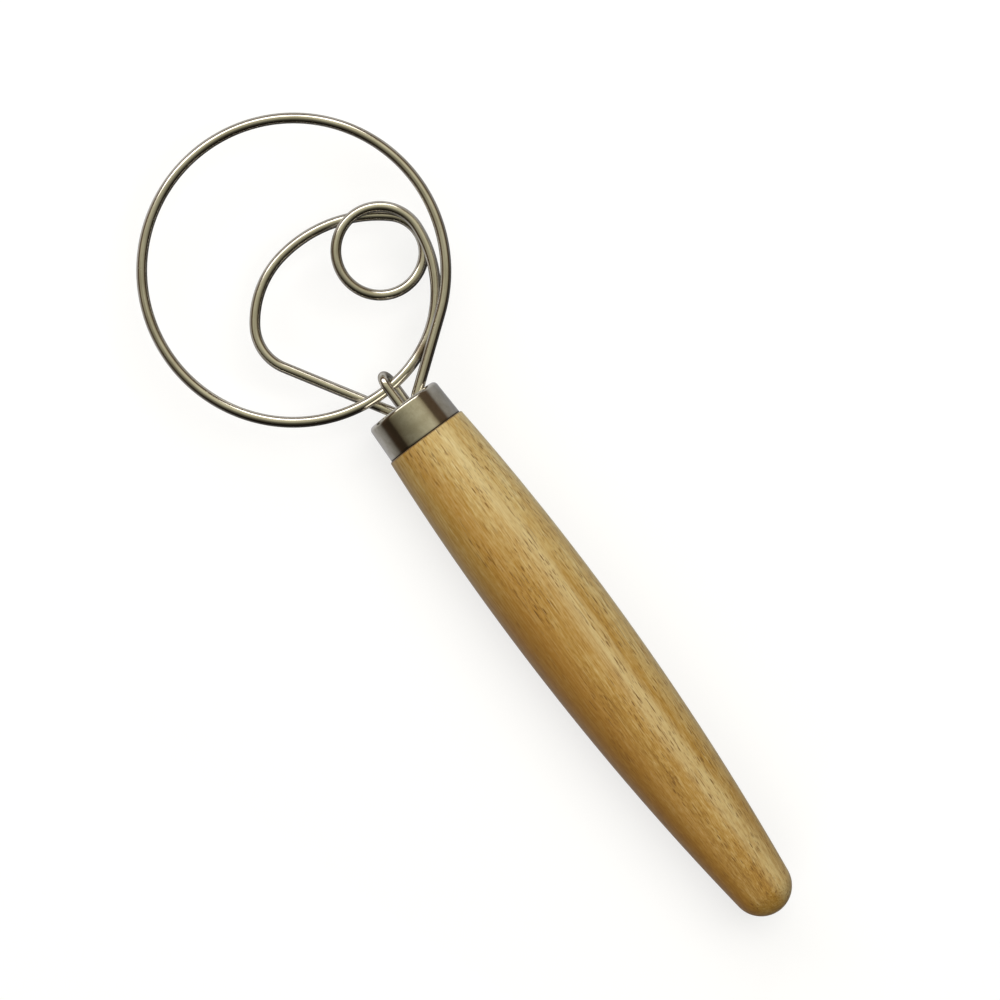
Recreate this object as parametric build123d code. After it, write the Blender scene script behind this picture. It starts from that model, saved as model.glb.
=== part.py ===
from build123d import *
import math
import os

# Danish dough whisk: one steel wire coiled into an open head, a steel ferrule and a
# turned wooden handle.  Millimetres.
#
# Working frame: +Y runs along the handle towards the head, with y = 0 on the ferrule's
# flat face; x = 0 and z = 0 are the handle's axis; +Z stands square to the ring.
# The last step moves the whole tool so that its origin is the bottom centre of its box.

# ---- wire head ----
wire_diameter = 3.5
strand_clearance = 0.1       # gap left where one strand passes over another
ring_diameter = 100.3        # over the outside of the ring
ring_offset = -2.2           # the ring's centre lies this far to the right of the axis
ring_lift = 6.7              # ferrule face up to the wire's centre at the ring's lowest point
start_relief = 0.8           # the first quarter of the ring is this much larger in radius
start_slope = 37.2           # degrees above the ferrule face, outgoing straight strand
inner_inset = 9.4            # the inner strand curves this much tighter than the ring
loop_radius = 14.1           # small loop, to the wire's centre
loop_inset = 22.25           # loop centre, in from the ring's right-hand side
loop_drop = 11.35            # loop centre, below the ring's centre
loop_exit_angle = -48.0      # where the loop's second turn starts to tighten, from +X
second_turn_radius = 11.8
second_turn_sweep = 96.0
crown_inset = 5.2            # middle arc: its crown curves this much tighter than the ring
crown_sweep = 51.0
shoulder_inset = 18.0        # then its shoulder
return_inset = 33.3          # then the bend that turns back to the ferrule
finish_slope = 59.1          # degrees above the ferrule face, incoming straight strand

# ---- wire ends inside the ferrule and the handle ----
start_entry = 6.2            # x where the outgoing strand meets the ferrule face
finish_entry = -3.8          # x where the incoming strand meets it
bend_ratio = 1.5             # bend radius over wire diameter, just under the face
start_tail = 42.0            # straight wire below the bend
finish_tail = 36.0

# ---- hook that ties the ring down to the ferrule ----
hook_wire_diameter = 3.2
hook_offset = 0.7            # x of the hook's middle
hook_twist = 16.6            # degrees that the hook is turned about the handle's axis
hook_clearance = 0.1         # gap between the hook's legs and the strand between them
hook_rise = 0.8              # gap between that strand and the inside of the hook's bend
hook_tail = 22.0             # length of its legs below the ferrule face

# ---- ferrule: a drawn steel cap ----
ferrule_diameter = 27.0      # at the open end
ferrule_height = 12.8
ferrule_wall = 0.8
ferrule_taper = 0.45         # radius lost between the open end and the face
ferrule_corner = 1.5
least_inner_corner = 0.3     # rounding left inside a thick-walled cap
hole_clearance = 0.2         # round each wire in the ferrule's face

# ---- turned handle ----
handle_length = 189.1        # butt to the shoulder that the ferrule stands on
shoulder_step = 0.65         # wood standing proud of the ferrule, in radius
belly_diameter = 33.6
belly_distance = 67.8        # shoulder to the thickest place
butt_radius = 9.9            # the rounded butt is part of a ball
tenon_clearance = 0.05       # tenon to the ferrule's inside
tenon_gap = 0.3              # end of the tenon to the ferrule's inside face
tenon_chamfer = 1.0          # clears the ferrule's inside corner
shoulder_round = 0.5
bore_clearance = 0.6         # bore wall to the outermost wire
bore_end_gap = 3.0           # bore bottom to the longest wire end
drill_tip_angle = 118.0

# ---- resin that fills the bore ----
resin_skin = 0.02            # between the resin and what it holds

wire_radius = wire_diameter / 2
strand_pitch = wire_diameter + strand_clearance
ring_radius = (ring_diameter - wire_diameter) / 2
ring_centre_y = ring_lift + ring_radius

# Heights of the strands across the flat of the tool.  The outgoing strand lies on top,
# the ring's lowest point and the inner strand in the middle, the middle arc underneath.
top_level = strand_pitch
mid_level = 0.0
low_level = -strand_pitch


def polar(radius, degrees):
    angle = math.radians(degrees)
    return Vector(radius * math.cos(angle), radius * math.sin(angle), 0)


def raised(point, level):
    return Vector(point.X, point.Y, level)


def turn(centre, radius, start, sweep, level):
    """Arc in a level plane; angles in degrees from +X, a positive sweep turns left."""
    places = [centre + polar(radius, start + sweep * share) for share in (0, 0.5, 1)]
    return Edge.make_three_point_arc(*[raised(place, level) for place in places])


def tilted_half_turn(centre, radius, start, from_level, to_level):
    """Half circle whose ends stay level, so that it joins level arcs without a kink."""
    middle_level = (from_level + to_level) / 2
    slant_radius = math.hypot(radius, (to_level - from_level) / 2)
    first = raised(centre + polar(radius, start), from_level)
    middle = raised(centre + polar(slant_radius, start + 90), middle_level)
    last = raised(centre + polar(radius, start + 180), to_level)
    return Edge.make_three_point_arc(first, middle, last)


def bearing(origin, target):
    """Direction in degrees from +X of target seen from origin."""
    return math.degrees(math.atan2(target.Y - origin.Y, target.X - origin.X))


def centre_touching(first, first_distance, second, second_distance):
    """Point at the two distances from two points, on the right of first to second."""
    span = (second - first).length
    along = (first_distance ** 2 - second_distance ** 2 + span ** 2) / (2 * span)
    across = math.sqrt(first_distance ** 2 - along ** 2)
    direction = (second - first).normalized()
    return first + direction * along + Vector(direction.Y, -direction.X, 0) * across


def tail_with_bend(entry, slope, level, tail_length):
    """Wire end below the face: bend centre, bend sweep and the tail's two end points.

    slope is the strand's angle above the face; the bend brings it square to the face."""
    radius = bend_ratio * wire_diameter
    side = math.copysign(1, entry)
    lean = 90 - slope
    run = radius * (1 - math.cos(math.radians(lean)))
    depth = radius * math.sin(math.radians(lean))
    tail_x = entry - side * run
    top = Vector(tail_x, -depth, level)
    bottom = Vector(tail_x, -depth - tail_length, level)
    centre = Vector(tail_x + side * radius, -depth, 0)
    return centre, radius, side * lean, top, bottom


def swept(edges, radius):
    """Round bar of the given radius along a chain of edges."""
    path = Wire(edges)
    section = Plane(origin=path @ 0, z_dir=path % 0) * Circle(radius)
    return sweep(section, path=path)


def revolved(outline):
    """Solid of revolution about the handle's axis; x in the outline is the radius."""
    return revolve(make_face(outline), axis=Axis.Y)


# ---------------------------------------------------------------- the coiled wire
ring_left_x = ring_offset - ring_radius
start_radius = ring_radius + start_relief
start_angle = start_slope - 90
start_centre_y = ring_centre_y
# The outgoing strand is a tangent of the ring's first quarter and crosses the face
# at start_entry, which sets how far to the right that quarter's centre stands.
start_reach = start_radius / math.sin(math.radians(start_slope))
start_centre_x = start_entry + start_centre_y / math.tan(math.radians(start_slope)) - start_reach
start_centre = Vector(start_centre_x, start_centre_y, 0)
start_tangent = start_centre + polar(start_radius, start_angle)

ring_right_x = start_centre_x + start_radius
top_radius = (ring_right_x - ring_left_x) / 2
top_centre = Vector(ring_left_x + top_radius, ring_centre_y, 0)
ring_centre = Vector(ring_offset, ring_centre_y, 0)

inner_radius = ring_radius - inner_inset
loop_centre = ring_centre + Vector(ring_radius - loop_inset, -loop_drop, 0)
inner_centre = centre_touching(
    ring_centre, ring_radius - inner_radius, loop_centre, inner_radius - loop_radius
)
inner_start = bearing(ring_centre, inner_centre)
inner_end = bearing(inner_centre, loop_centre)

# Middle arc: a chain of arcs, each touching the next from the inside, that ends on the
# straight strand back to the ferrule.
crown_radius = ring_radius - crown_inset
shoulder_radius = ring_radius - shoulder_inset
return_radius = ring_radius - return_inset
second_centre = loop_centre + polar(loop_radius - second_turn_radius, loop_exit_angle)
second_end = loop_exit_angle + second_turn_sweep
crown_centre = second_centre + polar(second_turn_radius - crown_radius, second_end)
crown_end = second_end + crown_sweep
shoulder_centre = crown_centre + polar(crown_radius - shoulder_radius, crown_end)
finish_heading = Vector(
    math.cos(math.radians(finish_slope)), -math.sin(math.radians(finish_slope)), 0
)
finish_normal = Vector(-finish_heading.Y, finish_heading.X, 0)
offset_entry = Vector(finish_entry, 0, 0) + finish_normal * return_radius
to_entry = offset_entry - shoulder_centre
along = to_entry.dot(finish_heading)
reach = shoulder_radius - return_radius
slide = -along - math.sqrt(along ** 2 - to_entry.dot(to_entry) + reach ** 2)
return_centre = offset_entry + finish_heading * slide
shoulder_end = bearing(shoulder_centre, return_centre) % 360
return_end = 270 - finish_slope
return_tangent = return_centre + polar(return_radius, return_end)

start_bend = tail_with_bend(start_entry, start_slope, top_level, start_tail)
finish_bend = tail_with_bend(finish_entry, finish_slope, low_level, finish_tail)


def start_end_edges():
    centre, radius, lean, top, bottom = start_bend
    return [
        Edge.make_line(bottom, top),
        turn(centre, radius, 180, -lean, top_level),
        Edge.make_line(Vector(start_entry, 0, top_level), raised(start_tangent, top_level)),
    ]


def finish_end_edges():
    centre, radius, lean, top, bottom = finish_bend
    return [
        Edge.make_line(raised(return_tangent, low_level), Vector(finish_entry, 0, low_level)),
        turn(centre, radius, -lean, lean, low_level),
        Edge.make_line(top, bottom),
    ]


def whisk_wire_edges():
    edges = start_end_edges()
    edges += [
        turn(start_centre, start_radius, start_angle, -start_angle, top_level),
        tilted_half_turn(top_centre, top_radius, 0, top_level, mid_level),
        turn(ring_centre, ring_radius, 180, inner_start % 360 - 180, mid_level),
        turn(inner_centre, inner_radius, inner_start, inner_end - inner_start, mid_level),
    ]
    drop_start = loop_exit_angle + 180
    edges += [
        turn(loop_centre, loop_radius, inner_end, drop_start - inner_end, mid_level),
        tilted_half_turn(loop_centre, loop_radius, drop_start, mid_level, low_level),
        turn(second_centre, second_turn_radius, loop_exit_angle, second_turn_sweep, low_level),
        turn(crown_centre, crown_radius, second_end, crown_sweep, low_level),
        turn(shoulder_centre, shoulder_radius, crown_end, shoulder_end - crown_end, low_level),
        turn(return_centre, return_radius, shoulder_end, return_end - shoulder_end, low_level),
    ]
    return edges + finish_end_edges()


# ---------------------------------------------------------------- the hook
hook_radius = hook_wire_diameter / 2
# Half the distance between the legs: they clear the strand although they stand turned.
hook_half_span = (wire_radius + hook_radius + hook_clearance) / math.cos(math.radians(hook_twist))
hook_crown_y = ring_lift + wire_radius + hook_rise + hook_radius
hook_bend_y = hook_crown_y - hook_half_span


def hook_edges():
    turned = math.radians(hook_twist)
    across = Vector(-math.sin(turned), 0, math.cos(turned)) * hook_half_span
    middle = Vector(hook_offset, 0, 0)
    front = middle + across
    rear = middle - across
    bend = Vector(0, hook_bend_y, 0)
    foot = Vector(0, -hook_tail, 0)
    crown = middle + Vector(0, hook_crown_y, 0)
    return [
        Edge.make_line(front + foot, front + bend),
        Edge.make_three_point_arc(front + bend, crown, rear + bend),
        Edge.make_line(rear + bend, rear + foot),
    ]


# ---------------------------------------------------------------- ferrule
ferrule_radius = ferrule_diameter / 2
ferrule_slope = ferrule_taper / ferrule_height


def cap(radius, height, corner):
    """Tapered, round-cornered solid below the face at y = 0."""
    outline = Polyline(
        (0, 0), (radius - ferrule_slope * height, 0), (radius, -height), (0, -height), close=True
    )
    face = make_face(outline)
    edge_point = face.vertices().group_by(Axis.Y)[-1].sort_by(Axis.X)[-1]
    return revolve(fillet(edge_point, corner), axis=Axis.Y)


def ferrule():
    shell = cap(ferrule_radius, ferrule_height, ferrule_corner)
    inside_radius = ferrule_radius - ferrule_wall
    inside_depth = ferrule_height - ferrule_wall
    inner_corner = max(ferrule_corner - ferrule_wall, least_inner_corner)
    inside = cap(inside_radius, inside_depth, inner_corner)
    shell -= Pos(0, -ferrule_wall, 0) * inside
    for edges in (start_end_edges(), finish_end_edges()):
        shell -= swept(edges, wire_radius + hole_clearance)
    return shell - swept(hook_edges(), hook_radius + hole_clearance)


# ---------------------------------------------------------------- handle and resin
tenon_top_y = -ferrule_wall - tenon_gap
shoulder_y = -ferrule_height
butt_y = shoulder_y - handle_length
bore_radius = math.hypot(start_entry, strand_pitch) + wire_radius + bore_clearance
deepest_wire_y = min(start_bend[4].Y, finish_bend[4].Y, -hook_tail)
bore_bottom_y = deepest_wire_y - bore_end_gap
drill_tip_depth = bore_radius / math.tan(math.radians(drill_tip_angle / 2))


def drilled_bore(radius):
    """Bore with a drill's cone at its bottom, open at the end of the tenon."""
    points = [
        (0, tenon_top_y),
        (radius, tenon_top_y),
        (radius, bore_bottom_y),
        (0, bore_bottom_y - drill_tip_depth * radius / bore_radius),
    ]
    return revolved(Polyline(*points, close=True))


def handle():
    shoulder_radius_wood = ferrule_radius + shoulder_step
    belly_radius = belly_diameter / 2
    belly_y = shoulder_y - belly_distance
    # Front curve: from the shoulder's edge to the belly, level at the belly.
    rise = belly_radius - shoulder_radius_wood
    run = belly_distance - shoulder_round
    front_radius = (run ** 2 + rise ** 2) / (2 * rise)
    front_angle = math.asin(run / front_radius)
    front_middle = (
        belly_radius - front_radius * (1 - math.cos(front_angle / 2)),
        belly_y + front_radius * math.sin(front_angle / 2),
    )
    # Rear curve: level at the belly and running smoothly into the ball of the butt.
    ball_y = butt_y + butt_radius
    fall = belly_y - ball_y
    rear_radius = (belly_radius ** 2 + fall ** 2 - butt_radius ** 2) / (2 * (belly_radius - butt_radius))
    rear_angle = math.asin(fall / (rear_radius - butt_radius))
    rear_middle = (
        belly_radius - rear_radius * (1 - math.cos(rear_angle / 2)),
        belly_y - rear_radius * math.sin(rear_angle / 2),
    )
    seam = (butt_radius * math.cos(rear_angle), ball_y - butt_radius * math.sin(rear_angle))
    ball_angle = (rear_angle + math.pi / 2) / 2
    ball_middle = (butt_radius * math.cos(ball_angle), ball_y - butt_radius * math.sin(ball_angle))
    # Tenon with the same taper as the ferrule's inside.
    tenon_base = ferrule_radius - ferrule_wall - tenon_clearance
    chamfer_y = tenon_top_y - tenon_chamfer
    tenon_top = tenon_base - ferrule_slope * (chamfer_y - shoulder_y)
    shoulder_edge = (shoulder_radius_wood, shoulder_y - shoulder_round)
    turned_ends = [
        (0, butt_y),
        (0, tenon_top_y),
        (tenon_top - tenon_chamfer, tenon_top_y),
        (tenon_top, chamfer_y),
        (tenon_base, shoulder_y),
        (shoulder_radius_wood - shoulder_round, shoulder_y),
        shoulder_edge,
    ]
    outline = [
        Polyline(*turned_ends),
        ThreePointArc(shoulder_edge, front_middle, (belly_radius, belly_y)),
        ThreePointArc((belly_radius, belly_y), rear_middle, seam),
        ThreePointArc(seam, ball_middle, (0, butt_y)),
    ]
    return revolved(outline) - drilled_bore(bore_radius)


def resin():
    plug = drilled_bore(bore_radius - resin_skin)
    for edges in (start_end_edges(), finish_end_edges()):
        plug -= swept(edges, wire_radius + resin_skin)
    return plug - swept(hook_edges(), hook_radius + resin_skin)


# ---------------------------------------------------------------- assembly
pieces = {
    "handle": handle(),
    "ferrule": ferrule(),
    "whisk_wire": swept(whisk_wire_edges(), wire_radius),
    "retaining_hook": swept(hook_edges(), hook_radius),
    "resin_fill": resin(),
}

box = Compound(children=[piece.solid() for piece in pieces.values()]).bounding_box()
home = Pos(-box.center().X, -box.center().Y, -box.min.Z)

os.makedirs("parts", exist_ok=True)
for name, piece in pieces.items():
    export_step(home * piece.solid(), f"parts/{name}.step")
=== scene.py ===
import math

import bmesh
import bpy
from bpy.props import FloatProperty, FloatVectorProperty, IntProperty, PointerProperty
from mathutils import Matrix, Vector


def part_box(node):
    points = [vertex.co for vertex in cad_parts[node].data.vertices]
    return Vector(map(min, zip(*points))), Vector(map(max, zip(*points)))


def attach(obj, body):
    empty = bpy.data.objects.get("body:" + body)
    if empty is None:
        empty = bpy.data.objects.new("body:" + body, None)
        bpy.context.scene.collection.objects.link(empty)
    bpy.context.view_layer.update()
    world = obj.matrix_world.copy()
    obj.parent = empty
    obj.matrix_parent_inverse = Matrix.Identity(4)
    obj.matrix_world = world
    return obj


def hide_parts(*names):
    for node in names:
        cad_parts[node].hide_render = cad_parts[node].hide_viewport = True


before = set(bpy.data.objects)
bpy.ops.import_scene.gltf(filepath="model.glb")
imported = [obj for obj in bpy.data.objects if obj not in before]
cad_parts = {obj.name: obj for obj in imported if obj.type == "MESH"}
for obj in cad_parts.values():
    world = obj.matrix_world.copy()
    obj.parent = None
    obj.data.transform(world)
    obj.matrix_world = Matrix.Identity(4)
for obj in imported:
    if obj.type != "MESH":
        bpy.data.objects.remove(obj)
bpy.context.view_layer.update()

bl_info = {
    "name": "Dough whisk",
    "version": (1, 0, 0),
    "blender": (4, 5, 0),
    "location": "View3D > Sidebar > Dough whisk",
    "description": "Coiled steel wire head, drawn steel ferrule and turned wooden handle",
    "category": "Object",
}

# Working frame, as in the CAD: +Y runs along the handle towards the head with y = 0 on the
# ferrule's flat face, x = 0 and z = 0 are the handle's axis, +Z stands square to the ring.
FERRULE_LOW, FERRULE_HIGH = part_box("ferrule")
HANDLE_LOW, HANDLE_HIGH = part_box("handle")
HOME = Vector((
    (HANDLE_LOW.x + HANDLE_HIGH.x) / 2,
    FERRULE_HIGH.y,
    (HANDLE_LOW.z + HANDLE_HIGH.z) / 2,
))
FERRULE_DIAMETER = FERRULE_HIGH.x - FERRULE_LOW.x
FERRULE_HEIGHT = FERRULE_HIGH.y - FERRULE_LOW.y
BELLY_DIAMETER = HANDLE_HIGH.x - HANDLE_LOW.x
HANDLE_LENGTH = FERRULE_LOW.y - HANDLE_LOW.y

Y_AXIS, Z_AXIS = Vector((0, 1, 0)), Vector((0, 0, 1))
STRAIGHTENED = "straightened"  # attribute: each vertex's place on the bar before it was bent
SAME_PLACE = 1e-6  # vertices this close are one
SHARP_ANGLE = math.radians(32)  # edges that turn more than this are shaded sharp
LIP_ANGLE = math.radians(45)  # edges at the ferrule's open end that turn more are rounded
LIT_MIDDLE = HOME + Vector((0, -0.05, 0))  # where the soft boxes point

# Soft boxes: name, offset from the lit middle, width and height, watts, colour, mirrored.
SOFT_BOXES = (
    ("window", (0.263, 0.953, 0.680), (1.5, 0.52), 6.2, (1.0, 0.99, 0.97), True),
    ("sky", (0.263, 0.953, 0.680), (1.5, 1.0), 5.0, (1.0, 0.99, 0.97), False),
    ("overhead", (0.50, 0.00, 1.10), (0.90, 0.90), 7.4, (1.0, 0.99, 0.96), False),
    ("fill", (-0.70, -0.60, 0.80), (1.0, 1.0), 4.6, (1.0, 1.0, 1.0), False),
)

# The room as polished steel mirrors it, from straight below (0) to straight above (1).
ROOM_TONES = (
    (0.00, (0.42, 0.42, 0.44)),
    (0.25, (0.40, 0.40, 0.41)),
    (0.46, (0.28, 0.27, 0.26)),
    (0.515, (0.14, 0.125, 0.11)),
    (0.555, (0.075, 0.050, 0.033)),
    (0.765, (0.070, 0.050, 0.032)),
    (0.805, (0.25, 0.215, 0.145)),
    (0.89, (0.41, 0.385, 0.28)),
    (1.00, (0.42, 0.40, 0.29)),
)
BACKDROP = (0.95, 0.95, 0.95)


# ---------------------------------------------------------------- sizes and colours
def length(name, description, default):
    return FloatProperty(
        name=name, description=description, default=default, unit="LENGTH", precision=5
    )


def angle(name, description, degrees):
    return FloatProperty(
        name=name, description=description, default=math.radians(degrees), subtype="ANGLE"
    )


def count(name, description, default):
    return IntProperty(name=name, description=description, default=default, min=3)


def share(name, description, default):
    return FloatProperty(
        name=name, description=description, default=default, min=0, max=1, subtype="FACTOR"
    )


def colour(name, description, default):
    return FloatVectorProperty(
        name=name, description=description, default=default, min=0, max=1, size=3,
        subtype="COLOR",
    )


def place(name, description, default):
    return FloatVectorProperty(
        name=name, description=description, default=default, size=3, unit="LENGTH",
        subtype="TRANSLATION", precision=5,
    )


class WireHead(bpy.types.PropertyGroup):
    """The wire's line, from its start in the handle to its end"""

    wire_diameter: length("Wire diameter", "Thickness of the coiled wire", 0.0035)
    strand_clearance: length("Strand gap", "Gap where one strand passes over another", 0.0001)
    ring_diameter: length("Ring diameter", "Over the outside of the ring", 0.1003)
    ring_offset: length("Ring offset", "Ring's centre from the handle's axis", -0.0022)
    ring_lift: length("Ring lift", "Ferrule face to the ring's lowest point", 0.0067)
    start_relief: length("First quarter relief", "Extra radius of the first quarter", 0.0008)
    start_slope: angle("Outgoing slope", "Outgoing strand above the ferrule face", 37.2)
    inner_inset: length("Inner strand inset", "How much tighter it curves", 0.0094)
    loop_radius: length("Loop radius", "Small loop to the wire's centre", 0.0141)
    loop_inset: length("Loop inset", "Loop's centre from the ring's right side", 0.02225)
    loop_drop: length("Loop drop", "Loop's centre below the ring's centre", 0.01135)
    loop_exit: angle("Loop exit", "Where the second turn tightens", -48.0)
    second_radius: length("Second turn radius", "Radius of the second turn", 0.0118)
    second_sweep: angle("Second turn sweep", "Angle of the second turn", 96.0)
    crown_inset: length("Crown inset", "How much tighter the middle arc's crown is", 0.0052)
    crown_sweep: angle("Crown sweep", "Angle of the middle arc's crown", 51.0)
    shoulder_inset: length("Shoulder inset", "How much tighter its shoulder is", 0.018)
    return_inset: length("Return inset", "How much tighter the returning bend is", 0.0333)
    finish_slope: angle("Incoming slope", "Incoming strand above the ferrule face", 59.1)
    start_entry: length("Outgoing entry", "Where the outgoing strand meets the face", 0.0062)
    finish_entry: length("Incoming entry", "Where the incoming strand meets it", -0.0038)
    bend_ratio: FloatProperty(
        name="Bend ratio", description="Bend radius over wire diameter", default=1.5
    )
    start_tail: length("Outgoing tail", "Straight wire below the bend", 0.042)
    finish_tail: length("Incoming tail", "Straight wire below the bend", 0.036)
    weld: place("Spot weld", "Its middle, from the ferrule's face", (0.0160, 0.0095, 0.0018))
    sides: count("Sides", "Flats round the wire", 28)
    step: angle("Step", "Turn from one ring of vertices to the next", 1.6)


class TieHook(bpy.types.PropertyGroup):
    """The second wire, which ties the ring down to the ferrule"""

    wire_diameter: length("Wire diameter", "Thickness of the hook's wire", 0.0032)
    offset: length("Offset", "Middle of the hook from the handle's axis", 0.0007)
    twist: angle("Twist", "Hook turned about the handle's axis", 16.6)
    clearance: length("Side gap", "Gap between its legs and the ring", 0.0001)
    rise: length("Rise", "Gap between the ring and the inside of the bend", 0.0008)
    tail: length("Tail", "Legs below the ferrule face", 0.022)
    sides: count("Sides", "Flats round the wire", 28)
    step: angle("Step", "Turn from one ring of vertices to the next", 5.0)


class SteelCap(bpy.types.PropertyGroup):
    """The drawn ferrule"""

    diameter: length("Diameter", "At the open end", FERRULE_DIAMETER)
    height: length("Height", "Face to the open end", FERRULE_HEIGHT)
    wall: length("Wall", "Thickness of the steel", 0.0008)
    taper: length("Taper", "Radius lost towards the face", 0.00045)
    corner: length("Corner", "Rounding between side and face", 0.0015)
    inner_corner: length("Inner corner", "Rounding inside", 0.0007)
    lip: length("Lip", "Rounding of the open end", 0.00018)
    hole_gap: length("Hole gap", "Round each wire in the face", 0.0002)
    sides: count("Sides", "Flats round the cap", 160)
    corner_steps: count("Corner steps", "Steps round the corner", 8)


class TurnedHandle(bpy.types.PropertyGroup):
    """The turned wooden handle"""

    length: length("Length", "Butt to the shoulder", HANDLE_LENGTH)
    shoulder_step: length("Shoulder step", "Wood standing proud of the ferrule", 0.00065)
    shoulder_round: length("Shoulder rounding", "Eased edge of the shoulder", 0.0005)
    belly_diameter: length("Belly", "Thickest place", BELLY_DIAMETER)
    belly_distance: length("Belly distance", "Shoulder to the belly", 0.0678)
    butt_radius: length("Butt radius", "Ball at the rounded butt", 0.0099)
    tenon_gap: length("Tenon gap", "Tenon to the ferrule's inside", 0.00005)
    tenon_end_gap: length("Tenon end gap", "Tenon's end to the ferrule's face", 0.0003)
    tenon_chamfer: length("Tenon chamfer", "Clears the ferrule's corner", 0.001)
    bore_gap: length("Bore gap", "Bore wall to the outermost wire", 0.0006)
    bore_end_gap: length("Bore end gap", "Bore bottom to the longest wire end", 0.003)
    drill_tip: angle("Drill tip", "Full angle of the drill's cone", 118.0)
    sides: count("Sides", "Flats round the handle", 192)


class Finish(bpy.types.PropertyGroup):
    """Colours of wood, steel and resin, with painted light and shade on the wood and the
    ferrule
    """

    # At the butt its darkness is partly painted shade, from the tone's fall towards the butt.
    wood_dark: colour("Wood, dark", "Late wood and the butt", (0.225, 0.108, 0.018))
    wood_mid: colour("Wood, middle", "Most of the handle", (0.385, 0.215, 0.042))
    wood_light: colour("Wood, light", "Early wood", (0.545, 0.398, 0.160))
    # Cream wood, and also the colour of the painted highlight band right of the middle.
    wood_cream_and_highlight: colour("Wood, cream", "Pale band in the wood", (0.640, 0.535, 0.285))
    wood_rust: colour("Wood, rusty", "Streak left of the middle", (0.400, 0.185, 0.026))
    # Painted shade: the left side of the handle, darkening towards the butt.
    wood_left_shade: colour("Wood, side", "Left side towards the butt", (0.305, 0.130, 0.018))
    pore: colour("Pores", "Open pores in the wood", (0.140, 0.060, 0.012))
    # Painted shade: the dark ring on the wood right under the ferrule's open end.
    painted_junction_shade: colour("Junction shade", "In the corner under the ferrule", (0.10, 0.05, 0.02))
    steel: colour("Steel", "Polished wire", (0.84, 0.81, 0.73))
    steel_dull: colour("Steel, dull", "Wire where it is less bright", (0.60, 0.56, 0.475))
    steel_nick: colour("Steel, nicked", "Small dents along the wire", (0.20, 0.18, 0.14))
    heat_tint: colour("Heat tint", "Brown tint at the spot weld", (0.26, 0.17, 0.09))
    cap_steel: colour("Ferrule steel", "Drawn and polished cap", (0.65, 0.62, 0.54))
    cap_cloud: colour("Ferrule, clouded", "Where it is less bright", (0.52, 0.48, 0.39))
    cap_mottle: colour("Ferrule, mottled", "Small darker marks", (0.42, 0.37, 0.28))
    # Painted highlight: the bright rim at the face.
    cap_rim_highlight: colour("Ferrule, highlit", "Bright rim at the face", (0.78, 0.76, 0.70))
    # Painted shade: the dark line round the ferrule's open end, at the wood.
    cap_edge_shade: colour("Ferrule, open edge", "Dark line at the wood", (0.045, 0.028, 0.016))
    resin: colour("Resin", "Cured amber resin", (0.42, 0.22, 0.05))
    resin_dark: colour("Resin, dark", "Thicker places", (0.26, 0.12, 0.03))
    bubble: colour("Bubbles", "Air held in the resin", (0.62, 0.42, 0.18))


class Studio(bpy.types.PropertyGroup):
    """Floor, light and camera"""

    camera_height: length("Camera height", "Above the handle's axis", 1.60)
    camera_across: length("Camera across", "To the right of the handle's axis", 0.00693)
    camera_down: length("Camera down", "From the ferrule's face towards the butt", 0.0432)
    camera_turn: angle("Camera turn", "About the upright", -36.78)
    focal_length: FloatProperty(
        name="Focal length", description="Lens in millimetres", default=180.0, unit="CAMERA"
    )
    floor_size: length("Floor size", "Half the floor's side", 3.0)
    floor_colour: colour("Floor", "Plain pale floor", (0.32, 0.32, 0.32))
    floor_glow: share("Floor glow", "Light of its own, which keeps shadows pale", 0.70)


# ---------------------------------------------------------------- shader sums
class Signal:
    """A shader value that takes part in Python sums."""

    def __init__(self, shader, socket):
        self.shader = shader
        self.socket = socket

    def __add__(self, other):
        return self.shader.maths("ADD", self, other)

    def __sub__(self, other):
        return self.shader.maths("SUBTRACT", self, other)

    def __rsub__(self, other):
        return self.shader.maths("SUBTRACT", other, self)

    def __mul__(self, other):
        return self.shader.maths("MULTIPLY", self, other)

    def __pow__(self, other):
        return self.shader.maths("POWER", self, other)

    def __rpow__(self, other):
        return self.shader.maths("POWER", other, self)

    def __abs__(self):
        return self.shader.maths("ABSOLUTE", self)

    __radd__ = __add__
    __rmul__ = __mul__


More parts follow.
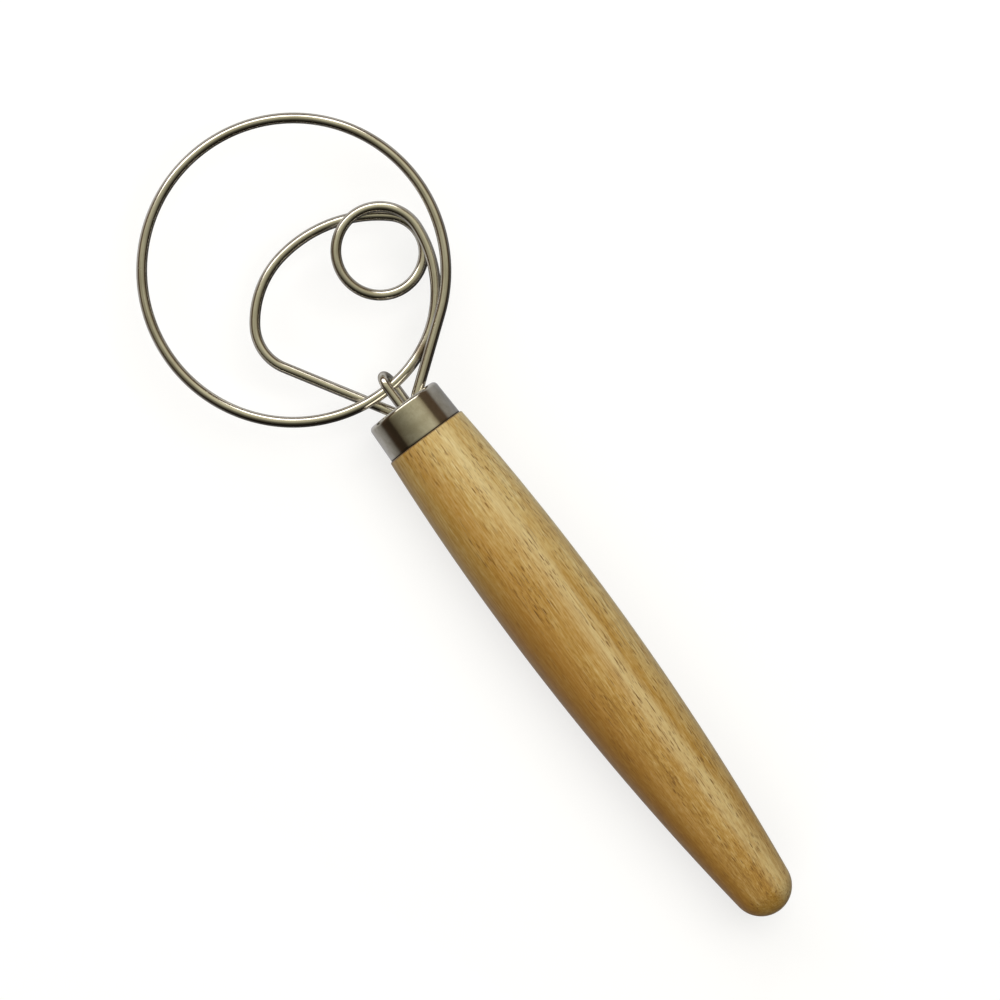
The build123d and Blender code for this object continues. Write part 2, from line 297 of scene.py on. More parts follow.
class Shader:
    """One node tree, and the few ways in which nodes are added to it."""

    def __init__(self, tree):
        self.tree = tree
        tree.nodes.clear()

    def add(self, kind, settings=None, sockets=None, output=0):
        """Adds a node: its settings first, then its sockets; returns one output."""
        node = self.tree.nodes.new(kind)
        for name, value in (settings or {}).items():
            if name == "stops":
                elements = node.color_ramp.elements
                while len(elements) < len(value):
                    elements.new(0.5)
                for element, (position, tone) in zip(elements, value):
                    element.position = position
                    element.color = (*tone, 1)
            else:
                setattr(node, name, value)
        for name, value in (sockets or {}).items():
            if isinstance(value, Signal):
                self.tree.links.new(value.socket, node.inputs[name])
            else:
                node.inputs[name].default_value = value
        return Signal(self, node.outputs[output] if node.outputs else None)

    def maths(self, operation, *values):
        return self.add("ShaderNodeMath", {"operation": operation}, dict(enumerate(values)))

    def spot(self):
        """Coordinates of the object in metres."""
        return self.add("ShaderNodeTexCoord", output="Object")

    def placed(self, vector, size, centre=(0, 0, 0), turned=(0, 0, 0)):
        """Coordinates from centre, turned, in units of size."""
        return self.add(
            "ShaderNodeMapping", {"vector_type": "TEXTURE"},
            {"Vector": vector, "Location": centre, "Rotation": turned, "Scale": size},
        )

    def noise(self, vector, detail=2.0, roughness=0.5, distortion=0.0):
        return self.add(
            "ShaderNodeTexNoise", {"noise_dimensions": "3D"},
            {"Vector": vector, "Scale": 1.0, "Detail": detail, "Roughness": roughness,
             "Distortion": distortion},
            "Fac",
        )

    def cells(self, vector, output="Distance"):
        return self.add(
            "ShaderNodeTexVoronoi", {"feature": "F1"},
            {"Vector": vector, "Scale": 1.0, "Randomness": 1.0}, output,
        )

    def part(self, vector, axis):
        return self.add("ShaderNodeSeparateXYZ", None, {0: vector}, axis)

    def fade(self, value, low, high):
        """0 below low and 1 above high, smooth between them; low may be the larger."""
        return self.add(
            "ShaderNodeMapRange", {"interpolation_type": "SMOOTHSTEP", "clamp": True},
            {"Value": value, "From Min": low, "From Max": high},
        )

    def ramp(self, value, stops):
        return self.add("ShaderNodeValToRGB", {"stops": stops}, {"Fac": value})

    def blend(self, factor, first, second, way="MIX"):
        """Two colours mixed in the way named."""
        first, second = (
            tone if isinstance(tone, Signal) else (*tone, 1) for tone in (first, second)
        )
        return self.add(
            "ShaderNodeMix", {"data_type": "RGBA", "blend_type": way, "clamp_factor": True},
            {0: factor, 6: first, 7: second}, 2,
        )

    def distance(self, vector, point):
        return self.add(
            "ShaderNodeVectorMath", {"operation": "DISTANCE"}, {0: vector, 1: point}, "Value"
        )

    def bump(self, height, strength, depth):
        return self.add(
            "ShaderNodeBump", None,
            {"Height": height, "Strength": strength, "Distance": depth},
        )

    def surface(self, sockets):
        """The Principled shader and the material's output."""
        skin = self.add("ShaderNodeBsdfPrincipled", None, sockets)
        self.add("ShaderNodeOutputMaterial", None, {"Surface": skin})


def new_material(name):
    material = bpy.data.materials.new(name)
    material.use_nodes = True
    return material, Shader(material.node_tree)


# ---------------------------------------------------------------- finishes
def open_pores(s, grain, across):
    """Dashes, long lines and specks that lie in drifts; more of them to the right."""
    drift = s.fade(s.noise(grain(0.0040, 0.028), 2.0) + across * 10.0, 0.44, 0.60)
    dash_cells = grain(0.00076, 0.0052)
    luck = s.part(s.cells(dash_cells, "Color"), "X")
    dashes = s.fade(s.cells(dash_cells), 0.33, 0.17) * (drift * 0.80 + 0.20)
    dashes = dashes * (luck * 0.65 + 0.35)
    lines = s.fade(s.cells(grain(0.00085, 0.0190)), 0.25, 0.11) * (drift * 0.55 + 0.30)
    specks = s.fade(s.cells(grain(0.00060, 0.0030)), 0.32, 0.16) * (drift * 0.60 + 0.25)
    return dashes, lines, specks


def oiled_wood(looks):
    """Pale hardwood, with painted light, shade and highlight in its colour. All places are
    from the handle's axis and the ferrule's face.
    """
    material, s = new_material("oiled_wood")
    spot = s.spot()
    lean = (0, 0, math.radians(-1.5))  # the grain runs a little across the handle
    pith_place = HOME + Vector((-0.052, 0, -0.040))  # outside the handle
    ring_width = 0.0034
    # Places across the handle of the painted highlight band and of the rusty streak.
    highlight_band, rusty_streak = 0.0064, -0.0068

    def grain(across, along):
        return s.placed(spot, (across, along, across), HOME, lean)

    wander = s.noise(grain(0.020, 0.110), 2.0) - 0.5
    sideways = wander * 0.010  # how far the band and the streak stray
    from_axis = s.placed(spot, (1, 1, 1), HOME)
    across = s.part(from_axis, "X")
    along = s.part(from_axis, "Y")
    pith = s.placed(spot, (1, 1, 1), pith_place, lean)
    reach = (s.part(pith, "X") ** 2 + s.part(pith, "Z") ** 2) ** 0.5
    rings = s.maths("SINE", (reach + wander * 0.012) * (2 * math.pi / ring_width)) * 0.5
    broad = s.noise(grain(0.0060, 0.150), 3.0, 0.55) - 0.5
    streak = s.noise(grain(0.00075, 0.070), 3.0, 0.65) - 0.5
    fibre = s.noise(grain(0.00026, 0.0110), 3.0, 0.65) - 0.5
    flecks = s.noise(grain(0.0006, 0.0022), 2.0, 0.5) - 0.5

    # Painted light and shade: paler to the right, on the lit side, and towards the ferrule,
    # darker towards the butt, with a painted sheen along the right edge.
    tone = (
        0.56 + broad * 0.50 + streak * 0.60 + rings * 0.07 + fibre * 0.92 + flecks * 0.42
        + across * 8.0 + along * 0.8
        + s.fade(along, -0.080, -0.020) * 0.10 + s.fade(across, 0.0085, 0.0145) * 0.16
    )
    base = s.ramp(tone, [
        (0.10, looks.wood_dark),
        (0.42, looks.wood_mid),
        (0.80, looks.wood_light),
        (1.00, looks.wood_cream_and_highlight),
    ])
    # Painted highlight: a pale band right of the middle, along the whole handle, where the
    # light's broad sheen lies.
    pale = s.fade(abs(across - highlight_band + sideways), 0.0042, 0.0008)
    base = s.blend(pale * (0.42 + streak * 0.9 + fibre * 0.5), base, looks.wood_cream_and_highlight)
    rust = s.fade(abs(across - rusty_streak + sideways), 0.0044, 0.0004)
    base = s.blend(rust * (0.26 + streak * 0.5), base, looks.wood_rust)
    # Painted shade: the left side darkens towards the butt.
    side = s.fade(across, -0.0050, -0.0100) * s.fade(along, -0.050, -0.085)
    base = s.blend(side * 0.50, base, looks.wood_left_shade)
    dashes, lines, specks = open_pores(s, grain, across)
    for pores, depth in ((dashes, 0.95), (lines, 0.78), (specks, 0.50)):
        base = s.blend(pores * depth, base, looks.pore)
    # Painted shade: darkens the wood in the corner right under the ferrule, where the joint
    # lies in shade.
    painted_junction_shade = s.fade(along, -0.01326, -0.01300) * 0.75
    base = s.blend(painted_junction_shade, base, looks.painted_junction_shade)
    rough = 0.46 + streak * 0.16 + fibre * 0.14 + dashes * 0.25
    lathe_marks = s.noise(s.placed(spot, (0.02, 0.00045, 0.02), HOME), 2.0)
    height = fibre * 0.35 + lathe_marks * 0.10 - dashes * 0.9 - lines * 0.9 - specks * 0.4
    s.surface({
        "Base Color": base,
        "Roughness": rough,
        "Normal": s.bump(height, 0.35, 0.00012),
        "Specular IOR Level": 0.32,
        "Coat Weight": 0.12 + broad * 0.2,
        "Coat Roughness": 0.34,
        "Sheen Weight": 0.18,
        "Sheen Roughness": 0.32,
    })
    return material


def drawn_wire(looks, name, weld=None):
    """Bright wire with lines along it; weld is where the heat of a spot weld shows."""
    material, s = new_material(name)
    spot = s.spot()
    bar = s.add(
        "ShaderNodeAttribute",
        {"attribute_type": "GEOMETRY", "attribute_name": STRAIGHTENED}, None, "Vector",
    )
    lines = s.noise(s.placed(bar, (0.00042, 0.00042, 0.060)), 3.0, 0.6)
    fine = s.noise(s.placed(bar, (0.00015, 0.00015, 0.014)), 2.0, 0.6)
    cloud = s.noise(s.placed(spot, (0.012, 0.012, 0.012)), 3.0, 0.55)
    nicks = s.fade(s.cells(s.placed(bar, (0.0011, 0.0011, 0.0042))), 0.14, 0.04)
    dull = s.fade(lines * 0.55 + cloud * 0.45, 0.40, 0.66)
    base = s.blend(dull, looks.steel, looks.steel_dull)
    base = s.blend(nicks * 0.35, base, looks.steel_nick)
    rough = 0.13 + (lines - 0.35) * 0.18 + (fine - 0.5) * 0.10 + nicks * 0.2
    if weld is not None:
        heat = s.fade(s.distance(spot, weld) + (cloud - 0.5) * 0.002, 0.0042, 0.0014)
        base = s.blend(heat * 0.65, base, looks.heat_tint)
        rough = rough + heat * 0.14
    height = lines * 0.7 + fine * 0.3 - nicks * 0.5
    s.surface({
        "Base Color": base,
        "Metallic": 1.0,
        "Roughness": rough,
        "Normal": s.bump(height, 0.30, 0.00004),
        "Specular Tint": (0.34, 0.31, 0.28, 1),
    })
    return material


def drawn_cap(looks):
    """Drawn steel with lines round it, a painted highlight on the rim at the face and a
    painted shade line at the wood.
    """
    material, s = new_material("drawn_cap_steel")
    spot = s.spot()
    lines = s.noise(s.placed(spot, (0.012, 0.00022, 0.012), HOME), 3.0, 0.6) - 0.5
    cloud = s.noise(s.placed(spot, (0.0065, 0.0065, 0.0065), HOME), 4.0, 0.6)
    mottle = s.noise(s.placed(spot, (0.0017, 0.0030, 0.0017), HOME), 3.0, 0.6) - 0.5
    along = s.part(s.placed(spot, (1, 1, 1), HOME), "Y")
    # Painted highlight: lightens the rounded corner at the face, broken up by the mottle.
    rim_highlight = s.fade(along + mottle * 0.0008, -0.0016, 0.0)
    # Painted shade: a dark line round the open end, where the ferrule meets the wood.
    edge = s.fade(along + FERRULE_HEIGHT, 0.00050, 0.00030)
    base = s.blend(s.fade(cloud, 0.35, 0.70), looks.cap_steel, looks.cap_cloud)
    base = s.blend(s.fade(mottle, 0.0, 0.25) * 0.30, base, looks.cap_mottle)
    base = s.blend(rim_highlight * 0.4, base, looks.cap_rim_highlight)
    base = s.blend(edge * 0.85, base, looks.cap_edge_shade)
    rough = 0.125 + lines * 0.08 + mottle * 0.10 + edge * 0.3
    height = lines * 0.5 + mottle * 0.5
    s.surface({
        "Base Color": base,
        "Metallic": 1.0,
        "Roughness": rough,
        "Normal": s.bump(height, 0.25, 0.00004),
    })
    return material


def cured_resin(looks):
    """Amber resin with small bubbles; hidden in the bore."""
    material, s = new_material("cured_resin")
    spot = s.spot()
    cloud = s.noise(s.placed(spot, (0.004, 0.004, 0.004), HOME), 3.0, 0.6)
    bubbles = s.fade(s.cells(s.placed(spot, (0.0012, 0.0012, 0.0012), HOME)), 0.28, 0.12)
    base = s.blend(s.fade(cloud, 0.3, 0.7), looks.resin, looks.resin_dark)
    base = s.blend(bubbles * 0.6, base, looks.bubble)
    s.surface({
        "Base Color": base,
        "Roughness": 0.26 + cloud * 0.2,
        "Normal": s.bump(cloud * 0.6 - bubbles, 0.4, 0.0002),
        "Coat Weight": 0.4,
        "Coat Roughness": 0.12,
    })
    return material


def pale_floor(studio):
    """Matt floor that glows a little, so that shadows on it stay pale."""
    material, s = new_material("pale_floor")
    spot = s.spot()
    cloud = s.noise(s.placed(spot, (0.35, 0.35, 0.35)), 2.0)
    darker = tuple(0.9 * part for part in studio.floor_colour)
    base = s.blend(cloud * 0.05, studio.floor_colour, darker)
    s.surface({
        "Base Color": base,
        "Roughness": 0.9,
        "Specular IOR Level": 0.1,
        "Emission Color": (1, 1, 1, 1),
        "Emission Strength": studio.floor_glow,
    })
    return material


# ---------------------------------------------------------------- round bars
def polar(radius, heading):
    return Vector((radius * math.cos(heading), radius * math.sin(heading), 0))


def bearing(origin, target):
    return math.atan2(target.y - origin.y, target.x - origin.x)


def raised(point, level):
    return Vector((point.x, point.y, level))


def turn(centre, sweep, level):
    """Level turn about centre; a positive sweep turns left."""
    return ("turn", raised(centre, level), Z_AXIS, sweep)


def tilted_half_turn(centre, radius, start, from_level, to_level):
    """Half a circle whose ends stay level, so that it joins level turns without a kink."""
    middle = raised(centre, (from_level + to_level) / 2)
    to_start = raised(polar(radius, start), (from_level - to_level) / 2)
    axis = to_start.cross(polar(1, start + math.pi / 2)).normalized()
    return ("turn", middle, axis, math.pi)


def straight(offset):
    return ("straight", offset)


def centre_touching(first, first_distance, second, second_distance):
    """Point at the two distances from two points, on the right of first to second."""
    span = (second - first).length
    ahead = (first_distance ** 2 - second_distance ** 2 + span ** 2) / (2 * span)
    aside = math.sqrt(first_distance ** 2 - ahead ** 2)
    heading = (second - first).normalized()
    return first + heading * ahead + Vector((heading.y, -heading.x, 0)) * aside


def tail_with_bend(head, entry, slope, tail):
    """Wire end below the face: bend centre, bend angle and the straight tail's far end."""
    radius = head.bend_ratio * head.wire_diameter
    side = math.copysign(1, entry)
    lean = math.pi / 2 - slope
    tail_x = entry - side * radius * (1 - math.cos(lean))
    depth = radius * math.sin(lean)
    far_end = Vector((tail_x, -depth - tail, 0))
    return Vector((tail_x + side * radius, -depth, 0)), side * lean, far_end


def coiled_line(head):
    """Start, first heading and moves of the coiled wire, in the working frame."""
    pitch = head.wire_diameter + head.strand_clearance
    top, middle, low = pitch, 0.0, -pitch
    ring_radius = (head.ring_diameter - head.wire_diameter) / 2
    ring = Vector((head.ring_offset, head.ring_lift + ring_radius, 0))

    # Outgoing strand, then the ring's first quarter.
    first_radius = ring_radius + head.start_relief
    reach = first_radius / math.sin(head.start_slope)
    first = Vector((
        head.start_entry + ring.y / math.tan(head.start_slope) - reach, ring.y, 0
    ))
    first_angle = head.start_slope - math.pi / 2
    leaving = first + polar(first_radius, first_angle)
    bend, lean, far_end = tail_with_bend(
        head, head.start_entry, head.start_slope, head.start_tail
    )
    moves = [
        straight(Y_AXIS * head.start_tail),
        turn(bend, -lean, top),
        straight(leaving - Vector((head.start_entry, 0, 0))),
        turn(first, -first_angle, top),
    ]

    # Upper half of the ring, its lower left, then the inner strand and the loop.
    left, right = ring.x - ring_radius, first.x + first_radius
    upper = Vector(((left + right) / 2, ring.y, 0))
    moves.append(tilted_half_turn(upper, (right - left) / 2, 0, top, middle))
    inner_radius = ring_radius - head.inner_inset
    loop = ring + Vector((ring_radius - head.loop_inset, -head.loop_drop, 0))
    inner = centre_touching(
        ring, ring_radius - inner_radius, loop, inner_radius - head.loop_radius
    )
    inner_start, inner_end = bearing(ring, inner), bearing(inner, loop)
    drop_start = head.loop_exit + math.pi
    moves += [
        turn(ring, inner_start % (2 * math.pi) - math.pi, middle),
        turn(inner, inner_end - inner_start, middle),
        turn(loop, drop_start - inner_end, middle),
        tilted_half_turn(loop, head.loop_radius, drop_start, middle, low),
    ]

    # Middle arc: each turn touches the next from the inside.
    crown_radius = ring_radius - head.crown_inset
    shoulder_radius = ring_radius - head.shoulder_inset
    return_radius = ring_radius - head.return_inset
    second = loop + polar(head.loop_radius - head.second_radius, head.loop_exit)
    second_end = head.loop_exit + head.second_sweep
    crown = second + polar(head.second_radius - crown_radius, second_end)
    crown_end = second_end + head.crown_sweep
    shoulder = crown + polar(crown_radius - shoulder_radius, crown_end)
    heading = Vector((math.cos(head.finish_slope), -math.sin(head.finish_slope), 0))
    entry = Vector((head.finish_entry, 0, 0))
    offset_entry = entry + Vector((-heading.y, heading.x, 0)) * return_radius
    to_entry = offset_entry - shoulder
    ahead = to_entry.dot(heading)
    gap = shoulder_radius - return_radius
    slide = -ahead - math.sqrt(ahead ** 2 - to_entry.dot(to_entry) + gap ** 2)
    back = offset_entry + heading * slide
    shoulder_end = bearing(shoulder, back) % (2 * math.pi)
    back_end = 1.5 * math.pi - head.finish_slope
    arriving = back + polar(return_radius, back_end)
    last_bend, last_lean, _ = tail_with_bend(
        head, head.finish_entry, head.finish_slope, head.finish_tail
    )
    moves += [
        turn(second, head.second_sweep, low),
        turn(crown, head.crown_sweep, low),
        turn(shoulder, shoulder_end - crown_end, low),
        turn(back, back_end - shoulder_end, low),
        straight(entry - arriving),
        turn(last_bend, last_lean, low),
        straight(-Y_AXIS * head.finish_tail),
    ]
    return raised(far_end, top), Y_AXIS, moves


def incoming_line(head, moves):
    """The coiled wire's last three moves as a line of their own, run backwards."""
    bend, lean, far_end = tail_with_bend(
        head, head.finish_entry, head.finish_slope, head.finish_tail
    )
    low = -(head.wire_diameter + head.strand_clearance)
    _, incoming_run = moves[-3]
    return raised(far_end, low), Y_AXIS, [
        straight(Y_AXIS * head.finish_tail),
        turn(bend, -lean, low),
        straight(-incoming_run),
    ]


def hook_line(head, hook):
    """Start, first heading and moves of the hook, in the working frame."""
    radius = hook.wire_diameter / 2
    ring_wire = head.wire_diameter / 2
    half_span = (ring_wire + radius + hook.clearance) / math.cos(hook.twist)
    crown_y = head.ring_lift + ring_wire + hook.rise + radius
    across = Vector((-math.sin(hook.twist), 0, math.cos(hook.twist))) * half_span
    leg = crown_y - half_span + hook.tail
    middle = Vector((hook.offset, 0, 0))
    centre = middle + Y_AXIS * (crown_y - half_span)
    return middle + across - Y_AXIS * hook.tail, Y_AXIS, [
        straight(Y_AXIS * leg),
        ("turn", centre, across.cross(Y_AXIS).normalized(), math.pi),
        straight(-Y_AXIS * leg),
    ]


def only(kind, geometry):
    return [item for item in geometry if isinstance(item, kind)]


def round_bar(line, radius, sides, step):
    """Bmesh of a round bar along a line of moves. Each vertex remembers its place on the
    bar before it was bent, which is what drawing lines and nicks follow."""
    start, heading, moves = line
    start = start + HOME
    bm = bmesh.new()
    memory = bm.verts.layers.float_vector.new(STRAIGHTENED)
    facing = heading.to_track_quat("Z", "Y").to_matrix().to_4x4()
    made = bmesh.ops.create_circle(
        bm, cap_ends=True, radius=radius, segments=sides,
        matrix=Matrix.Translation(start) @ facing,
    )
    ring = made["verts"]
    rim = list({edge for vertex in ring for edge in vertex.link_edges})
    for vertex in ring:
        across = facing.inverted() @ (vertex.co - start)
        vertex[memory] = (across.x, across.y, 0)

    def remember(travelled):
        for vertex in ring:
            vertex[memory] = (*vertex[memory][:2], travelled)

    travelled = 0.0
    for kind, *details in moves:
        if kind == "straight":
            (offset,) = details
            grown = bmesh.ops.extrude_edge_only(bm, edges=rim)["geom"]
            ring = only(bmesh.types.BMVert, grown)
            fresh = set(ring)
            rim = [e for e in only(bmesh.types.BMEdge, grown) if fresh.issuperset(e.verts)]
            bmesh.ops.translate(bm, verts=ring, vec=offset)
            travelled += offset.length
            remember(travelled)
            continue
        centre, axis, sweep = details
        middle = centre + HOME
        core = sum((vertex.co for vertex in ring), Vector()) / len(ring)
        reach = (core - middle).length
        steps = max(2, math.ceil(abs(sweep) / step))
        for _ in range(steps):
            last = bmesh.ops.spin(
                bm, geom=ring + rim, cent=middle, axis=axis, dvec=(0, 0, 0),
                angle=sweep / steps, steps=1, use_merge=False, use_duplicate=False,
            )["geom_last"]
            ring, rim = only(bmesh.types.BMVert, last), only(bmesh.types.BMEdge, last)
            travelled += abs(sweep) / steps * reach
            remember(travelled)
    bmesh.ops.holes_fill(bm, edges=rim, sides=0)
    bmesh.ops.recalc_face_normals(bm, faces=bm.faces)
    return bm


# ---------------------------------------------------------------- turned shapes
class Profile:
    """A line in the plane z = 0 that is drawn point by point and then spun about the axis."""

    def __init__(self, radius, y):
        self.bm = bmesh.new()
        start = HOME + Vector((radius, y, 0))
        self.tip = bmesh.ops.create_vert(self.bm, co=start)["vert"][0]

    def line(self, radius, y, steps=1):
        goal = HOME + Vector((radius, y, 0))
        stride = (goal - self.tip.co) / steps
        for _ in range(steps):
            grown = bmesh.ops.extrude_vert_indiv(self.bm, verts=[self.tip])
            self.tip = grown["verts"][0]
            bmesh.ops.translate(self.bm, verts=[self.tip], vec=stride)

    def arc(self, radius, y, sweep, steps):
        """Arc about a centre given as radius and y; a positive sweep turns left."""
        last = bmesh.ops.spin(
            self.bm, geom=[self.tip], cent=HOME + Vector((radius, y, 0)), axis=Z_AXIS,
            dvec=(0, 0, 0), angle=sweep, steps=steps, use_merge=False, use_duplicate=False,
        )["geom_last"]
        self.tip = only(bmesh.types.BMVert, last)[0]

    def spun(self, sides):
        bm = self.bm
        bmesh.ops.spin(
            bm, geom=bm.verts[:] + bm.edges[:], cent=HOME, axis=Y_AXIS, dvec=(0, 0, 0),
            angle=2 * math.pi, steps=sides, use_merge=True, use_duplicate=False,
        )
        bmesh.ops.remove_doubles(bm, verts=bm.verts, dist=SAME_PLACE)
        bmesh.ops.recalc_face_normals(bm, faces=bm.faces)
        return bm


def new_object(name, bm):
    """Object at the origin, shaded smooth apart from its sharp edges."""
    for face in bm.faces:
        face.smooth = True
    for edge in bm.edges:
        edge.smooth = edge.calc_face_angle(0.0) < SHARP_ANGLE
    mesh = bpy.data.meshes.new(name)
    bm.to_mesh(mesh)
    bm.free()
    piece = bpy.data.objects.new(name, mesh)
    bpy.context.scene.collection.objects.link(piece)
    return piece


def hand_over(piece, node, material):
    """The piece takes the place of its CAD node and moves with it."""
    piece.data.materials.clear()
    piece.data.materials.append(material)
    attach(piece, "root")
    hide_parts(node)


def ferrule_profile(cap):
    """Outside from the middle of the face to the open end, then back up the inside."""
    lean = math.atan2(cap.taper, cap.height)
    radius = cap.diameter / 2
    profile = Profile(0, 0)

    def top_radius(outer, height):
        return outer - cap.taper / cap.height * height

    def corner_centre(outer, height, rounding):
        back = rounding / math.tan((math.pi / 2 + lean) / 2)
        return top_radius(outer, height) - back

    outer_x = corner_centre(radius, cap.height, cap.corner)
    profile.line(outer_x, 0, 6)
    profile.arc(outer_x, -cap.corner, lean - math.pi / 2, cap.corner_steps)
    profile.line(radius, -cap.height, 12)
    inner, depth = radius - cap.wall, cap.height - cap.wall
    profile.line(inner, -cap.height)
    inner_x = corner_centre(inner, depth, cap.inner_corner)
    side = polar(cap.inner_corner, lean)
    profile.line(inner_x + side.x, -cap.wall - cap.inner_corner + side.y, 6)
    profile.arc(
        inner_x, -cap.wall - cap.inner_corner, math.pi / 2 - lean, cap.corner_steps
    )
    profile.line(0, -cap.wall, 4)
    return profile


def cut_away(piece, cutters):
    """Cuts the cutters out of the piece for good, and removes them."""
    for cutter in cutters:
        cut = piece.modifiers.new(cutter.name, "BOOLEAN")
        cut.operation, cut.solver, cut.object = "DIFFERENCE", "EXACT", cutter
    graph = bpy.context.evaluated_depsgraph_get()
    old = piece.data
    piece.data = bpy.data.meshes.new_from_object(piece.evaluated_get(graph))
    piece.modifiers.clear()
    bpy.data.meshes.remove(old)
    for cutter in cutters:
        bpy.data.objects.remove(cutter)


def handle_profile(handle, cap, head, hook):
    """From the butt along the outside to the tenon, then down the bore to its tip."""
    shoulder = cap.diameter / 2 + handle.shoulder_step
    shoulder_y = -cap.height
    butt_y = shoulder_y - handle.length
    belly, belly_y = handle.belly_diameter / 2, shoulder_y - handle.belly_distance
    rounding = handle.shoulder_round
    rise, run = belly - shoulder, handle.belly_distance - rounding
    front = (run ** 2 + rise ** 2) / (2 * rise)
    ball_y = butt_y + handle.butt_radius
    fall = belly_y - ball_y
    rear = (belly ** 2 + fall ** 2 - handle.butt_radius ** 2) / (
        2 * (belly - handle.butt_radius)
    )
    rear_angle = math.asin(fall / (rear - handle.butt_radius))
    butt_steps, rear_steps, front_steps, shoulder_steps = 22, 56, 36, 5
    profile = Profile(0, butt_y)
    profile.arc(0, ball_y, math.pi / 2 - rear_angle, butt_steps)
    profile.arc(belly - rear, belly_y, rear_angle, rear_steps)
    profile.arc(belly - front, belly_y, math.asin(run / front), front_steps)
    profile.arc(
        shoulder - rounding, shoulder_y - rounding, math.pi / 2, shoulder_steps
    )
    # Tenon inside the ferrule, with the ferrule's taper.
    tenon = cap.diameter / 2 - cap.wall - handle.tenon_gap
    top_y = -cap.wall - handle.tenon_end_gap
    chamfer_y = top_y - handle.tenon_chamfer
    tenon_top = tenon - cap.taper / cap.height * (chamfer_y - shoulder_y)
    profile.line(tenon, shoulder_y)
    profile.line(tenon_top, chamfer_y, 4)
    profile.line(tenon_top - handle.tenon_chamfer, top_y)
    # Bore for the wire ends.
    pitch = head.wire_diameter + head.strand_clearance
    bore = math.hypot(head.start_entry, pitch) + head.wire_diameter / 2 + handle.bore_gap
    ends = [
        tail_with_bend(head, entry, slope, tail)[2].y
        for entry, slope, tail in (
            (head.start_entry, head.start_slope, head.start_tail),
            (head.finish_entry, head.finish_slope, head.finish_tail),
        )
    ]
    bottom = min(*ends, -hook.tail) - handle.bore_end_gap
    profile.line(bore, top_y)
    profile.line(bore, bottom, 8)
    profile.line(0, bottom - bore / math.tan(handle.drill_tip / 2))
    return profile


# ---------------------------------------------------------------- operators
class DOUGH_WHISK_OT_handle(bpy.types.Operator):
    """Turns the wooden handle"""

    bl_idname = "dough_whisk.handle"
    bl_label = "Turned handle"

    def execute(self, context):
        scene = context.scene
        profile = handle_profile(
            scene.whisk_handle, scene.whisk_cap, scene.whisk_head, scene.whisk_hook
        )
        piece = new_object("turned_handle", profile.spun(scene.whisk_handle.sides))
        hand_over(piece, "handle", oiled_wood(scene.whisk_finish))
        return {"FINISHED"}


class DOUGH_WHISK_OT_wire(bpy.types.Operator):
    """Coils the steel wire of the head"""

    bl_idname = "dough_whisk.wire"
    bl_label = "Coiled wire"

    def execute(self, context):
        head = context.scene.whisk_head
        bar = round_bar(coiled_line(head), head.wire_diameter / 2, head.sides, head.step)
        piece = new_object("coiled_wire", bar)
        weld = HOME + Vector(head.weld)
        steel = drawn_wire(context.scene.whisk_finish, "drawn_wire_steel", weld)
        hand_over(piece, "whisk_wire", steel)
        return {"FINISHED"}


class DOUGH_WHISK_OT_hook(bpy.types.Operator):
    """Bends the hook that ties the ring down to the ferrule"""

    bl_idname = "dough_whisk.hook"
    bl_label = "Tie hook"

    def execute(self, context):
        head, hook = context.scene.whisk_head, context.scene.whisk_hook
        bar = round_bar(hook_line(head, hook), hook.wire_diameter / 2, hook.sides, hook.step)
        piece = new_object("tie_hook", bar)
        steel = drawn_wire(context.scene.whisk_finish, "hook_wire_steel")
        hand_over(piece, "retaining_hook", steel)
        return {"FINISHED"}


class DOUGH_WHISK_OT_ferrule(bpy.types.Operator):
    """Draws the steel ferrule and cuts a hole in its face for each wire"""

    bl_idname = "dough_whisk.ferrule"
    bl_label = "Drawn ferrule"

    def execute(self, context):
        scene = context.scene
        cap, head, hook = scene.whisk_cap, scene.whisk_head, scene.whisk_hook
        bm = ferrule_profile(cap).spun(cap.sides)
        open_end = HOME.y - cap.height
        lip = [
            edge for edge in bm.edges
            if all(abs(vertex.co.y - open_end) < SAME_PLACE for vertex in edge.verts)
            and edge.calc_face_angle(0.0) > LIP_ANGLE
        ]
        bmesh.ops.bevel(
            bm, geom=lip, offset=cap.lip, offset_type="OFFSET", affect="EDGES", segments=2,
            profile=0.5, material=-1,
        )
        piece = new_object("drawn_ferrule", bm)
        start, heading, moves = coiled_line(head)
        outgoing = start, heading, moves[:3]
        wire_hole = head.wire_diameter / 2 + cap.hole_gap
        hook_hole = hook.wire_diameter / 2 + cap.hole_gap
        cutters = [
            new_object(name, round_bar(line, radius, head.sides, head.step))
            for name, line, radius in (
                ("outgoing_hole", outgoing, wire_hole),
                ("incoming_hole", incoming_line(head, moves), wire_hole),
                ("hook_hole", hook_line(head, hook), hook_hole),
            )
        ]
        cut_away(piece, cutters)
        hand_over(piece, "ferrule", drawn_cap(scene.whisk_finish))
        return {"FINISHED"}


class DOUGH_WHISK_OT_resin(bpy.types.Operator):
    """Gives the resin in the bore its finish"""

    bl_idname = "dough_whisk.resin"
    bl_label = "Resin"

    def execute(self, context):
        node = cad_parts["resin_fill"]
        node.data.materials.clear()
        node.data.materials.append(cured_resin(context.scene.whisk_finish))
        return {"FINISHED"}


def soft_light(name, position, size, power, tone, mirrored):
    """A soft box that the camera doesn't see; mirrored, it shows in polished steel."""
    lamp = bpy.data.lights.new(name, "AREA")
    lamp.shape, lamp.size, lamp.size_y = "RECTANGLE", size[0], size[1]
    lamp.energy, lamp.color = power, tone
    light = bpy.data.objects.new(name, lamp)
    light.location = position
    light.rotation_euler = (LIT_MIDDLE - position).to_track_quat("-Z", "Y").to_euler()
    light.visible_camera = False
    light.visible_glossy = mirrored
    bpy.context.scene.collection.objects.link(light)


